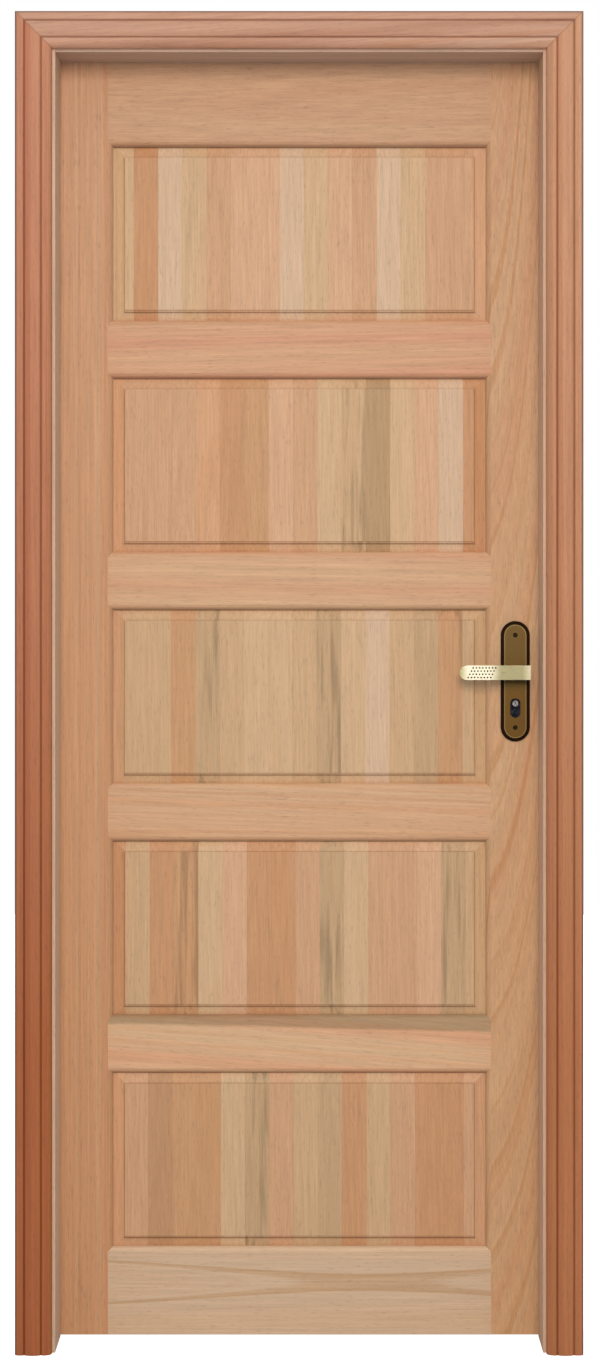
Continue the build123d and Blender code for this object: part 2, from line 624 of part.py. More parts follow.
latch_front = leaf_mid - LATCH_WIDTH / 2
latch_head = bolt_bar(LATCH_LENGTH, LATCH_WIDTH, LATCH_HEIGHT, latch_z, 0)
bevel_depth = LATCH_WIDTH - LATCH_NOSE
bevel = Polyline(
    (leaf_edge, latch_front),
    (leaf_edge, latch_front + bevel_depth),
    (leaf_edge - LATCH_THROW, latch_front),
    close=True,
)
latch_head -= extrude(Pos(0, 0, latch_z) * make_face(bevel), LATCH_HEIGHT, both=True)
latch_length = LATCH_LENGTH + LATCH_TAIL_LENGTH
pieces["latch_bolt"] = latch_head + bolt_bar(latch_length, LATCH_TAIL_SIDE, LATCH_TAIL_SIDE, latch_z, 0)
pieces["dead_bolt"] = bolt_bar(BOLT_LENGTH, BOLT_WIDTH, BOLT_HEIGHT, bolt_z, 0)
bolt_ways = [
    bolt_bar(LATCH_LENGTH, LATCH_WIDTH, LATCH_HEIGHT, latch_z, SLIDE_CLEARANCE),
    bolt_bar(latch_length, LATCH_TAIL_SIDE, LATCH_TAIL_SIDE, latch_z, SLIDE_CLEARANCE),
    bolt_bar(BOLT_LENGTH, BOLT_WIDTH, BOLT_HEIGHT, bolt_z, SLIDE_CLEARANCE),
]
way_half = CYLINDER_WIDTH / 2 + SLIDE_CLEARANCE
cylinder_way = span_box(
    (axis_x - way_half, leaf_front, plug_z - lower_body - SLIDE_CLEARANCE),
    (axis_x + way_half, leaf_back, plug_z + way_half),
)
case_block = span_box((case_deep, case_front, case_low), (faceplate_back, case_back, case_high))
follower_way = bore(
    FOLLOWER_RADIUS + RUN_CLEARANCE, (axis_x, case_front, LEVER_HEIGHT), (axis_x, case_back, LEVER_HEIGHT)
)
pieces["lock_case"] = case_block - [follower_way, cylinder_way, cam_room, cylinder_screw_hole] - bolt_ways
faceplate_half = FACEPLATE_WIDTH / 2
faceplate = span_box(
    (faceplate_back, leaf_mid - faceplate_half, faceplate_low),
    (leaf_edge, leaf_mid + faceplate_half, faceplate_high),
)
faceplate_screw_places = [
    (leaf_edge, leaf_mid, faceplate_low + FACEPLATE_SCREW_INSET),
    (leaf_edge, leaf_mid, faceplate_high - FACEPLATE_SCREW_INSET),
]
faceplate_holes = set_in(faceplate_screw_places, (-1, 0, 0), screw_hole(FACEPLATE_SCREW_LENGTH))
pieces["lock_faceplate"] = faceplate - cylinder_screw_hole - faceplate_holes - bolt_ways
pieces["faceplate_screws"] = Compound(
    children=set_in(faceplate_screw_places, (-1, 0, 0), screw(FACEPLATE_SCREW_LENGTH))
)
case_room = span_box(
    (case_deep - SLIDE_CLEARANCE, case_front - SLIDE_CLEARANCE, case_low - SLIDE_CLEARANCE),
    (faceplate_back, case_back + SLIDE_CLEARANCE, case_high + SLIDE_CLEARANCE),
)
spindle_way = drilling(
    SPINDLE_HOLE_RADIUS, (axis_x, leaf_front, LEVER_HEIGHT), (axis_x, leaf_back, LEVER_HEIGHT)
)
back_screw_holes = [mirror(one, about=LEAF_MIDDLE) for one in plate_screw_holes]
lock_cuts = [case_room, faceplate, spindle_way, cylinder_way]
lock_cuts += faceplate_holes + plate_screw_holes + back_screw_holes
lock_stile -= lock_cuts
for name in rail_names:
    pieces[name] -= lock_cuts

# Strike plate: flush in the strike jamb, with a lip to the jamb's edge and a pocket for each bolt
strike_mid = (latch_z + bolt_z) / 2
strike_low, strike_high = strike_mid - STRIKE_HEIGHT / 2, strike_mid + STRIKE_HEIGHT / 2
strike_out = cheek_x + STRIKE_THICKNESS
strike_half = STRIKE_WIDTH / 2
strike = span_box(
    (cheek_x, leaf_mid - strike_half, strike_low), (strike_out, leaf_mid + strike_half, strike_high)
)
lip_half = LATCH_HEIGHT / 2 + POCKET_ROOM
strike += span_box(
    (cheek_x, leaf_mid, latch_z - lip_half), (strike_out, leaf_back + STRIKE_LIP, latch_z + lip_half)
)


def pocket(width, height, throw, middle_z):
    """The hole through the strike plate and into the jamb that a thrown bolt goes into."""
    half_width, half_height = width / 2 + POCKET_ROOM, height / 2 + POCKET_ROOM
    return span_box(
        (cheek_x, leaf_mid - half_width, middle_z - half_height),
        (leaf_edge + throw + POCKET_ROOM, leaf_mid + half_width, middle_z + half_height),
    )


pockets = [
    pocket(LATCH_WIDTH, LATCH_HEIGHT, LATCH_THROW, latch_z),
    pocket(BOLT_WIDTH, BOLT_HEIGHT, BOLT_THROW, bolt_z),
]
strike_screw_places = [
    (cheek_x, leaf_mid, strike_low + STRIKE_SCREW_INSET),
    (cheek_x, leaf_mid, strike_high - STRIKE_SCREW_INSET),
]
strike_holes = set_in(strike_screw_places, (1, 0, 0), screw_hole(STRIKE_SCREW_LENGTH))
strike_jamb -= [strike] + pockets + strike_holes
pieces["strike_plate"] = strike - pockets - strike_holes
pieces["strike_plate_screws"] = Compound(
    children=set_in(strike_screw_places, (1, 0, 0), screw(STRIKE_SCREW_LENGTH))
)

pieces["hinge_jamb"] = hinge_jamb
pieces["strike_jamb"] = strike_jamb
pieces["head_jamb"] = head_jamb
pieces["hinge_stile"] = hinge_stile
pieces["lock_stile"] = lock_stile

os.makedirs("parts", exist_ok=True)
for name, piece in pieces.items():
    export_step(piece, f"parts/{name}.step")
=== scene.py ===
"""Looks of a prehung wooden door: a five-panel leaf in its jamb, with casings, hinges, lock and levers."""
import math

import bmesh
import bpy
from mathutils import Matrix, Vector


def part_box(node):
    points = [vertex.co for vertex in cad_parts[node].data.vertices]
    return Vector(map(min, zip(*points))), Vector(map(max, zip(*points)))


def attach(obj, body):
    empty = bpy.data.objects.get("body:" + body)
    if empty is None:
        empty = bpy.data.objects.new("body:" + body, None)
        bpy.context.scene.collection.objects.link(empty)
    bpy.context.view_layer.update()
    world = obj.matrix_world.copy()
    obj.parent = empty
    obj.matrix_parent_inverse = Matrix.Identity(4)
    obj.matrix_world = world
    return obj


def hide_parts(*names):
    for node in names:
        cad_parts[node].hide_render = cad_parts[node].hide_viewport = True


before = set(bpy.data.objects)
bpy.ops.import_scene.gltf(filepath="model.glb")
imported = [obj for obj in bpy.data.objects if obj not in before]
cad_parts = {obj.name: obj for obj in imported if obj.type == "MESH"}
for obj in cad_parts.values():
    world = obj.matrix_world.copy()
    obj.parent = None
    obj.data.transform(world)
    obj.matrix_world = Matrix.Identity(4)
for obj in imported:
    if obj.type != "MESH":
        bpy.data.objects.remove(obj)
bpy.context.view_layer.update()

# Jambs: two legs and a head of solid eucalyptus, planed square with a rebate for the leaf.
# The head is housed between the legs, and the front edges show as a narrow strip inside the casings.
# Planing and a thin oil leave a satin face with soft bands, fine fibres and short dark pores.
MM = 0.001
SHARED_POINT = 0.002 * MM
SHARP_CORNER = math.radians(35)
BOARD_ARRIS = 0.7 * MM
BOARD_SHEEN = 0.35
JAMB_STREAKS = 0.2
# Sockets of the Mix node when it mixes colours
COLOUR_A, COLOUR_B, COLOUR_OUT = 6, 7, 2
# The rings bend slowly, over about 50 mm across the grain and some sixteen times that along it
BEND_SIZE = 50 * MM
BEND_STRETCH = (1, 1, 0.06)
# A broad band of colour takes in about three rings
BROAD_BANDS = 0.3
BAND_SHARES = (0.34, 0.50, 0.66)
# Real fibres and pores are a fraction of a millimetre wide, and are drawn coarser here so that they show
FIBRE_SIZE = 3 * MM
FIBRE_STRETCH = (1, 1, 0.02)
FIBRE_SHARE = 0.55
PORE_SIZE = 1.8 * MM
PORE_STRETCH = (1, 1, 0.12)
PORES = {"From Min": 0.58, "From Max": 0.70, "To Max": -0.16}
# A noise is 0.5 on average, and the mean shade makes up for what the pores darken
NOISE_MEAN = 0.5
MEAN_SHADE = 1.02
# Late wood is a redder, darker line in each ring
LATE_LINES = {"From Min": 0.54, "From Max": 0.68}
LATE_WOOD = (0.80, 0.70, 0.58)
# An upright keeps its foot's colour to half a metre, and has lost it at the height of the leaf
FADE_UP = {"From Min": 0.5, "From Max": 2.1}
# Oil lies glossier on the raised fibres than between them
OIL_GLOSS = {"From Min": 0.3, "From Max": 0.7, "To Min": 0.60, "To Max": 0.46}
FIBRE_RELIEF = {"Strength": 0.2, "Distance": 0.2 * MM}
# For each board: the grain's run, ring width, the pith line's offset in mm and its lean in degrees
jamb_boards = {
    "hinge_jamb": dict(along="Z", ring=7.0, pith=(60, 90), lean=(0.3, 0.2),
                       tones=("#CEAE96", "#D0B299", "#D3B79F")),
    "strike_jamb": dict(along="Z", ring=7.0, pith=(-70, 90), lean=(-0.3, 0.2),
                        tones=("#CBA68C", "#CEAB91", "#D1B097")),
    # The head's tones are darker than the legs': painted shade for its underside, which faces down
    "head_jamb": dict(along="X", ring=6.0, pith=(50, 90), lean=(0.4, 0.3),
                      tones=("#B29482", "#B59885", "#B99D8A")),
}


def linear(code):
    """An sRGB hex colour as linear red, green, blue and alpha."""
    shares = [int(code[start:start + 2], 16) / 255 for start in (1, 3, 5)]
    return [s / 12.92 if s <= 0.04045 else ((s + 0.055) / 1.055) ** 2.4 for s in shares] + [1.0]


def add(tree, kind, inputs, out=0, stops=(), stepped=False, **settings):
    """Add a shader node with settings and ramp stops, hex or grey, feed its inputs and return one output."""
    made = tree.nodes.new("ShaderNode" + kind)
    for key, value in settings.items():
        setattr(made, key, value)
    if stops:
        ramp = made.color_ramp
        ramp.interpolation = "CONSTANT" if stepped else "LINEAR"
        for _ in stops[2:]:
            ramp.elements.new(1.0)
        for element, (position, shade) in zip(ramp.elements, stops):
            element.position = position
            element.color = linear(shade) if isinstance(shade, str) else (shade, shade, shade, 1.0)
    for key, value in inputs.items():
        if isinstance(value, bpy.types.NodeSocket):
            tree.links.new(value, made.inputs[key])
        else:
            made.inputs[key].default_value = value
    return made.outputs[out]


def finish_named(name, **sockets):
    """A new material with constant values set on its shader, its node tree and the shader."""
    made = bpy.data.materials.new(name)
    made.use_nodes = True
    shader = made.node_tree.nodes["Principled BSDF"]
    for key, value in sockets.items():
        shader.inputs[key.replace("_", " ")].default_value = value
    return made, made.node_tree, shader


def wear(node, material):
    """Give a frame piece its finish."""
    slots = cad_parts[node].data.materials
    slots.clear()
    slots.append(material)


def soften(node, width, segments=2):
    """Round a frame piece's arrises, as sanding or tumbling leaves them."""
    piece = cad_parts[node]
    joined = piece.modifiers.new("joined faces", "WELD")
    joined.merge_threshold = SHARED_POINT
    arris = piece.modifiers.new("soft arris", "BEVEL")
    arris.width = width
    arris.segments = segments
    arris.limit_method = "ANGLE"
    arris.angle_limit = SHARP_CORNER
    arris.use_clamp_overlap = True
    even = piece.modifiers.new("even shading", "WEIGHTED_NORMAL")
    even.keep_sharp = True


def shaded(tree, colour, amount, factor):
    """A colour, multiplied by a factor as far as the amount goes."""
    darker = add(tree, "VectorMath", {0: colour, 1: factor}, operation="MULTIPLY")
    mixed = {0: amount, COLOUR_A: colour, COLOUR_B: darker}
    return add(tree, "Mix", mixed, out=COLOUR_OUT, data_type="RGBA")


def growth(tree, place, ring, pith, lean, bow=(0, 0), wander=7.0, streaks=0.42):
    """Rings about a pith line beside a board: shade, broad and fine bands, fibres and distance from it."""
    laid = add(tree, "Mapping", {
        "Vector": place,
        "Location": (pith[0] * MM, pith[1] * MM, 0),
        "Rotation": (math.radians(lean[0]), math.radians(lean[1]), 0),
    })
    along = add(tree, "SeparateXYZ", {0: laid}, out="Z")
    from_dip = add(tree, "Math", {0: along, 1: bow[1] * MM}, operation="SUBTRACT")
    squared = add(tree, "Math", {0: from_dip, 1: 2.0}, operation="POWER")
    sweep = add(tree, "Math", {0: squared, 1: bow[0]}, operation="MULTIPLY")
    swept = add(tree, "CombineXYZ", {"Y": sweep})
    arched = add(tree, "VectorMath", {0: laid, 1: swept}, operation="ADD")
    slow = add(tree, "VectorMath", {0: laid, 1: BEND_STRETCH}, operation="MULTIPLY")
    drift = add(tree, "TexNoise", {"Vector": slow, "Scale": 1 / BEND_SIZE, "Detail": 3.0}, out="Color")
    reach = (wander * MM, wander * MM, 0)
    bent = add(tree, "VectorMath", {0: drift, 1: reach, 2: arched}, operation="MULTIPLY_ADD")
    level = add(tree, "VectorMath", {0: bent, 1: (1, 1, 0)}, operation="MULTIPLY")
    radius = add(tree, "VectorMath", {0: level}, out="Value", operation="LENGTH")
    narrow = {"W": radius, "Scale": 1 / (ring * MM), "Detail": 4.0}
    fine = add(tree, "TexNoise", narrow, noise_dimensions="1D")
    wide = {"W": radius, "Scale": BROAD_BANDS / (ring * MM), "Detail": 1.0}
    broad = add(tree, "TexNoise", wide, noise_dimensions="1D")
    drawn = add(tree, "VectorMath", {0: laid, 1: FIBRE_STRETCH}, operation="MULTIPLY")
    fibre = add(tree, "TexNoise", {"Vector": drawn, "Scale": 1 / FIBRE_SIZE, "Detail": 4.0, "Roughness": 0.7})
    dashed = add(tree, "VectorMath", {0: laid, 1: PORE_STRETCH}, operation="MULTIPLY")
    vessels = add(tree, "TexNoise", {"Vector": dashed, "Scale": 1 / PORE_SIZE, "Detail": 2.0})
    pore = add(tree, "MapRange", {"Value": vessels, **PORES})
    level_shade = MEAN_SHADE - NOISE_MEAN * streaks - NOISE_MEAN * FIBRE_SHARE
    first = add(tree, "Math", {0: fine, 1: streaks, 2: level_shade}, operation="MULTIPLY_ADD")
    second = add(tree, "Math", {0: fibre, 1: FIBRE_SHARE, 2: first}, operation="MULTIPLY_ADD")
    shade = add(tree, "Math", {0: second, 1: pore}, operation="ADD")
    return dict(shade=shade, broad=broad, fine=fine, fibre=fibre, radius=radius)


def oiled(tree, shader, colour, fibre):
    """A thin satin oil: colour from the wood, and fibres that break up the gloss and stand a hair proud."""
    tree.links.new(colour, shader.inputs["Base Color"])
    rough = add(tree, "MapRange", {"Value": fibre, **OIL_GLOSS})
    tree.links.new(rough, shader.inputs["Roughness"])
    relief = add(tree, "Bump", {"Height": fibre, **FIBRE_RELIEF})
    tree.links.new(relief, shader.inputs["Normal"])


def timber(node, finish, along, tones, ring, pith, lean, bow=(0, 0), wander=6.0, streaks=0.3, late=0.0,
           foot_tones=None, marks=()):
    """A board's wood: hue in broad bands, shade in rings and fibres, late wood in lines, then its marks."""
    low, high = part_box(node)
    made, tree, shader = finish_named(f"{finish}_{node}", Specular_IOR_Level=BOARD_SHEEN)
    spot = add(tree, "TexCoord", {}, out="Object")
    centred = add(tree, "VectorMath", {0: spot, 1: (low + high) / 2}, operation="SUBTRACT")
    turn = (0, math.radians(90), 0) if along == "X" else (0, 0, 0)
    place = add(tree, "Mapping", {"Vector": centred, "Rotation": turn})
    wood = growth(tree, place, ring, pith, lean, bow, wander, streaks)
    wood.update(spot=spot, place=place, half_height=(high.z - low.z) / 2)
    colour = add(tree, "ValToRGB", {0: wood["broad"]}, stops=list(zip(BAND_SHARES, tones)))
    if foot_tones:
        foot = add(tree, "ValToRGB", {0: wood["broad"]}, stops=list(zip(BAND_SHARES, foot_tones)))
        height = add(tree, "SeparateXYZ", {0: spot}, out="Z")
        rise = add(tree, "MapRange", {"Value": height, **FADE_UP})
        risen = {0: rise, COLOUR_A: foot, COLOUR_B: colour}
        colour = add(tree, "Mix", risen, out=COLOUR_OUT, data_type="RGBA")
    colour = add(tree, "VectorMath", {0: colour, "Scale": wood["shade"]}, operation="SCALE")
    if late:
        line = add(tree, "MapRange", {"Value": wood["fine"], **LATE_LINES, "To Max": late})
        colour = shaded(tree, colour, line, LATE_WOOD)
    for mark, setting in marks:
        colour = mark(tree, wood, colour, setting)
    oiled(tree, shader, colour, wood["fibre"])
    wear(node, made)
    soften(node, BOARD_ARRIS)


for node, board in jamb_boards.items():
    timber(node, "planed_eucalyptus", streaks=JAMB_STREAKS, **board)

# Casings: three moulded boards on each side, mitred at the head and nailed to the jamb's edges.
# They are a redder eucalyptus, run through a moulder with two quirks and a rounded outer edge.
# Moulding cuts across the rings, so the faces are closely striped; a dark line marks the mitre's joint, and
# painted shade darkens the quirks and the outer edge.
MITRE_LINE = 1.0 * MM
# The quirk lines are painted shade in the two grooves
QUIRKS = (15.2 * MM, 42.2 * MM)
QUIRK_LINE = 1.1 * MM
LINE_DEPTH = 0.42
# Painted shade: the outer edge is darkened over its last few millimetres
OUTER_EDGE_SHADE = {"From Min": 1 * MM, "From Max": 4 * MM, "To Min": 0.95, "To Max": 0.0}
# One brown for the mitre's dark joint and for the painted shade in the quirks and on the outer edge
JOINT_AND_SHADE_BROWN = (0.36, 0.26, 0.22)
casing_grain = dict(along="Z", ring=5.0, lean=(0.15, 0.1), wander=4.0, streaks=0.55, late=0.65)
casing_sides = {
    "hinge_side": dict(tones=("#BB785C", "#BF7F60", "#C4896A"),
                       foot_tones=("#9D552E", "#A1572F", "#A66033")),
    "strike_side": dict(tones=("#C18766", "#C58E6D", "#CA9777"),
                        foot_tones=("#A7653D", "#AC6940", "#B16F48")),
}
casing_head = dict(along="X", ring=7.0, pith=(-40, -60), lean=(0.8, 4.5), late=0.45,
                   tones=("#B7846B", "#C29178", "#CCA188"))
# The pith lies to one side of the front boards and to the other side of the back ones
casing_piths = {"front": (90, 50), "back": (-90, 50)}


def joint_and_shade_lines(tree, wood, colour, corner):
    """A dark line at the mitre's joint, and painted shade in the quirks and along the sawn outer edge."""
    outer_x, top_z = corner
    parts = add(tree, "SeparateXYZ", {0: wood["spot"]}).node
    across = add(tree, "Math", {0: parts.outputs["X"]}, operation="ABSOLUTE")
    from_side = add(tree, "Math", {0: outer_x, 1: across}, operation="SUBTRACT")
    from_top = add(tree, "Math", {0: top_z, 1: parts.outputs["Z"]}, operation="SUBTRACT")
    lines = add(tree, "Math", {0: from_side, 1: from_top, 2: MITRE_LINE}, operation="COMPARE")
    inward = add(tree, "Math", {0: from_side, 1: from_top}, operation="MINIMUM")
    # Painted shade in the two quirks
    for quirk in QUIRKS:
        sunk = add(tree, "Math", {0: inward, 1: quirk, 2: QUIRK_LINE}, operation="COMPARE")
        lines = add(tree, "Math", {0: lines, 1: sunk}, operation="MAXIMUM")
    faint = add(tree, "Math", {0: lines, 1: LINE_DEPTH}, operation="MULTIPLY")
    # Painted shade along the outer edge
    edge_shade = add(tree, "MapRange", {"Value": inward, **OUTER_EDGE_SHADE})
    darkening = add(tree, "Math", {0: faint, 1: edge_shade}, operation="MAXIMUM")
    return shaded(tree, colour, darkening, JOINT_AND_SHADE_BROWN)


for side, pith in casing_piths.items():
    low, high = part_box(f"{side}_casing_head")
    mitred = ((joint_and_shade_lines, (high.x, high.z)),)
    for place, tones in casing_sides.items():
        upright = f"{side}_casing_{place}"
        timber(upright, "moulded_red_eucalyptus", pith=pith, marks=mitred, **casing_grain, **tones)
    timber(f"{side}_casing_head", "moulded_red_eucalyptus", marks=mitred, **casing_head)

# Corner screws: plated steel, driven through the jamb legs into the ends of the head.
# Only their slim shanks and countersunk heads exist, out of sight behind the casings.
# Zinc plating gives a cool grey with a cloudy bloom a few millimetres across.
ZINC_BLOOM = 6 * MM
zinc_codes = ((0.35, "#8E9092"), (0.65, "#B9BBBD"))


def metal(name, grain, codes, gloss, detail=3.0, drag=(1, 1, 1)):
    """A metal whose colour and roughness drift together over one grain, drawn out where it was brushed."""
    made, tree, shader = finish_named(name, Metallic=1.0)
    spot = add(tree, "TexCoord", {}, out="Object")
    drawn = add(tree, "VectorMath", {0: spot, 1: drag}, operation="MULTIPLY")
    drift = add(tree, "TexNoise", {"Vector": drawn, "Scale": 1 / grain, "Detail": detail})
    colour = add(tree, "ValToRGB", {0: drift}, stops=codes)
    tree.links.new(colour, shader.inputs["Base Color"])
    bright, dull = gloss
    rough = add(tree, "MapRange", {"Value": drift, "To Min": bright, "To Max": dull})
    tree.links.new(rough, shader.inputs["Roughness"])
    return made


zinc_plated_steel = metal("zinc_plated_steel", ZINC_BLOOM, zinc_codes, gloss=(0.28, 0.5))
wear("frame_corner_screws", zinc_plated_steel)

# Stiles and rails: solid eucalyptus, moulded along the panel edges, mortised, tenoned and coped together.
# The boards were chosen singly, so the uprights are striped and the top and bottom rails flat sawn.
# Sanding leaves a pale peach face; the upper moulding is painted lighter, a painted highlight, and the lower
# one darker, painted shade.
ARCH_SPAN = 100 * MM
ARCH_WOOD = (0.83, 0.72, 0.57)
STAIN_RAGGED = 14 * MM
STAIN_FROM, STAIN_TO = 5, 9
STAIN_DEPTH = 0.95
STAIN_OLIVE = (0.62, 0.66, 0.60)
# Over the mouldings' width: the upper one's painted highlight and the lower one's painted shade
STICKING = 8 * MM
HIGHLIGHT_PART = 0.6
STICKING_HIGHLIGHT = 1.14
SHADED_PART = (0.2, 0.6)
SHADED = 0.72


def arched_figure(tree, wood, colour, arches):
    """Dark rings of a flat-sawn board, each given by its share of the arch span and its depth of colour."""
    span = add(tree, "Math", {0: wood["radius"], 1: 1 / ARCH_SPAN}, operation="MULTIPLY")
    arch = add(tree, "ValToRGB", {0: span}, stops=arches)
    return shaded(tree, colour, arch, ARCH_WOOD)


def mineral_stain(tree, wood, colour, line):
    """An olive stain above a sloping, ragged line, given by its rise in mm and its slope."""
    rise, slope = line
    sloped = {0: wood["place"], 1: (1, 0, slope)}
    level = add(tree, "VectorMath", sloped, out="Value", operation="DOT_PRODUCT")
    ragged = add(tree, "Math", {0: wood["fibre"], 1: STAIN_RAGGED, 2: level}, operation="MULTIPLY_ADD")
    limits = {"From Min": (rise + STAIN_FROM) * MM, "From Max": (rise + STAIN_TO) * MM, "To Max": STAIN_DEPTH}
    amount = add(tree, "MapRange", {"Value": ragged, **limits})
    return shaded(tree, colour, amount, STAIN_OLIVE)


def sticking_light_and_shade(tree, wood, colour, edges):
    """A rail's moulded edges: the upper one with a painted highlight, the lower one with painted shade."""
    up = add(tree, "SeparateXYZ", {0: wood["place"]}, out="X")
    half = wood["half_height"]
    full, end = SHADED_PART
    limits = {
        "upper": {"From Min": half - STICKING, "From Max": half - STICKING * HIGHLIGHT_PART,
                  "To Min": 1.0, "To Max": STICKING_HIGHLIGHT},
        "lower": {"From Min": -half + STICKING * full, "From Max": -half + STICKING * end,
                  "To Min": SHADED, "To Max": 1.0},
    }
    for edge in edges:
        share = add(tree, "MapRange", {"Value": up, **limits[edge]})
        colour = add(tree, "VectorMath", {0: colour, "Scale": share}, operation="SCALE")
    return colour


both_edges = (sticking_light_and_shade, ("upper", "lower"))
lower_edge = (sticking_light_and_shade, ("lower",))
upper_edge = (sticking_light_and_shade, ("upper",))
bottom_arches = (
    (0.380, 0), (0.388, 0.25), (0.396, 0), (0.412, 0.05), (0.420, 0.65), (0.434, 0.7), (0.444, 1.0),
    (0.448, 0.9), (0.452, 0.1), (0.50, 0), (0.56, 0), (0.57, 0.25), (0.58, 0),
)
leaf_boards = {
    "hinge_stile": dict(
        along="Z", ring=5.0, pith=(170, -20), lean=(0.05, 0.03), wander=3.0, streaks=0.3, late=0.2,
        tones=("#C6926E", "#C79877", "#C99E7B"), foot_tones=("#C28B63", "#C3916B", "#C5966E")),
    "lock_stile": dict(
        along="Z", ring=6.0, pith=(52, -121), lean=(-5.0, 0.0), wander=3.0, streaks=0.3, late=0.8,
        tones=("#C59572", "#C79B77", "#C89F7B"), foot_tones=("#C6956E", "#C89B73", "#C99F78")),
    "top_rail": dict(
        along="X", ring=10.0, pith=(0, -18), lean=(2.6, 0.4), streaks=0.15, late=0.2,
        tones=("#C29371", "#C39777", "#C59B7A"), marks=(lower_edge,)),
    "cross_rail_1": dict(
        along="X", ring=6.0, pith=(70, -50), lean=(0.8, 0.6), streaks=0.2,
        tones=("#CA9274", "#CA9877", "#CC9D7A"), marks=(both_edges,)),
    "cross_rail_2": dict(
        along="X", ring=6.0, pith=(-80, -50), lean=(0.7, -0.5), streaks=0.2,
        tones=("#CB9977", "#CB9E7C", "#CDA37F"), marks=(both_edges,)),
    "cross_rail_3": dict(
        along="X", ring=7.0, pith=(50, -35), lean=(0.9, -2.6), streaks=0.2, late=0.45,
        tones=("#CC9B76", "#CCA07D", "#CFA581"), marks=(both_edges,)),
    "cross_rail_4": dict(
        along="X", ring=8.0, pith=(90, -60), lean=(0.8, -5.0), streaks=0.2, late=0.30,
        tones=("#D29D79", "#D1A581", "#D0AA86"), marks=((mineral_stain, (27.5, -0.022)), lower_edge)),
    "bottom_rail": dict(
        along="X", ring=9.0, pith=(-15, -26), lean=(0, 0), bow=(0.09, -110), wander=1.5, streaks=0.05,
        tones=("#CDA985", "#CBAA8D", "#CCAD91"), marks=((arched_figure, bottom_arches), upper_edge)),
}
for node, board in leaf_boards.items():
    timber(node, "sanded_eucalyptus", **board)

# Panels: each is an edge-glued board of upright staves about 40 mm wide, raised on both faces.
# The staves come from different logs, so cream, straw, olive and salmon stand side by side.
# Painted shade darkens the step round the raised field, painted shadow the edges under the rails and beside
# the stiles, and painted light makes the milled margins paler.
STAVE = 40 * MM
STAVE_SLOTS = 18
STAVE_SHEEN = 0.4
PANEL_ARRIS = 0.4 * MM
SIGHT = 9 * MM
FIELD_SIDE = SIGHT + 20 * MM
FIELD_END = SIGHT + 17.5 * MM
# Each stave is cut from its own place in a log: across it, through it and along it, in metres
CUT_REACH = (0.24, 0.05, 9.0)
# A panel's height gives it its own seed, so that no two panels repeat their staves' cuts
SEED_STEP, SEED_START = 7.31, 3.7
stave_grain = dict(ring=7.0, pith=(-40, -110), lean=(1.4, 0.5), streaks=0.2)
STAVE_LINES = {"From Min": 0.54, "From Max": 0.66, "To Max": 0.3}
STAVE_LATE = (0.82, 0.74, 0.64)
STREAK_SIZE = 11 * MM
STREAK_RUN = {"Rotation": (0, math.radians(3), 0), "Scale": (1, 1, 0.05)}
STREAKS = {"From Min": 0.52, "From Max": 0.66, "To Max": 0.75}
STREAK_OLIVE = (0.62, 0.62, 0.58)
GLUE_LINE = 0.48 * MM
GLUE_DEPTH = 0.22
GLUE_BROWN = (0.55, 0.5, 0.45)
# Across the step: its place as a share of the span about the field's edge, and how dark its painted shade is
# there
STEP_SPAN = 40 * MM
STEP_SHADES = ((0.49, 0), (0.5, 0.95), (0.535, 0.8), (0.57, 0.12), (0.70, 0))
# The step's painted shade is full below the field, weaker at its sides and weakest above its top edge
LOW_STEP = {"From Min": -2 * MM, "From Max": 0.0, "To Min": 0.4}
LIT_STEP = {"From Min": -2 * MM, "From Max": 0.0, "To Min": 1.0, "To Max": 0.3}
# Painted shadow in the last 3 mm before the sight edges, under the rails and beside the stiles
SIGHT_SHADE = 3 * MM
UNDER_RAIL, BESIDE_STILE = 0.7, 0.4
# Painted light: the margins are painted up to 9 percent lighter than the field
MARGIN_LIFT = {"From Max": 1 * MM, "To Min": 1.0, "To Max": 1.09}
# Brown of the painted shade and shadow
STEP_SHADE_BROWN = (0.40, 0.34, 0.28)
stave_tones = {
    "cream": "#CEAC8F", "straw": "#CAA580", "wheat": "#C59F79", "olive": "#BD9974", "dark_olive": "#B18C66",
    "pink": "#CEA07E", "tan": "#C79874", "peach": "#CC9973", "salmon": "#C18D65", "ochre": "#C29168",
    "brown": "#B98A64",
}
streaky = "streaked_"
# For each panel: how far its first joint is from the hinge stile in mm, and its staves from there on
panel_staves = {
    "panel_1": (34.6, "straw salmon cream straw tan pink pink cream straw pink tan cream straw tan tan pink "
                      "pink"),
    "panel_2": (17.0, "peach tan tan tan peach salmon ochre pink tan straw streaked_wheat dark_olive straw "
                      "pink cream salmon salmon"),
    "panel_3": (16.0, "tan wheat wheat ochre streaked_olive wheat straw straw wheat streaked_olive straw "
                      "cream wheat olive streaked_ochre wheat ochre"),
    "panel_4": (21.0, "salmon wheat salmon streaked_ochre straw pink salmon salmon tan streaked_olive straw "
                      "tan tan pink streaked_olive wheat tan"),
    "panel_5": (18.0, "peach tan brown ochre ochre straw streaked_olive tan wheat olive salmon wheat tan "
                      "salmon salmon tan wheat"),
}
sight_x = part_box("hinge_stile")[1].x


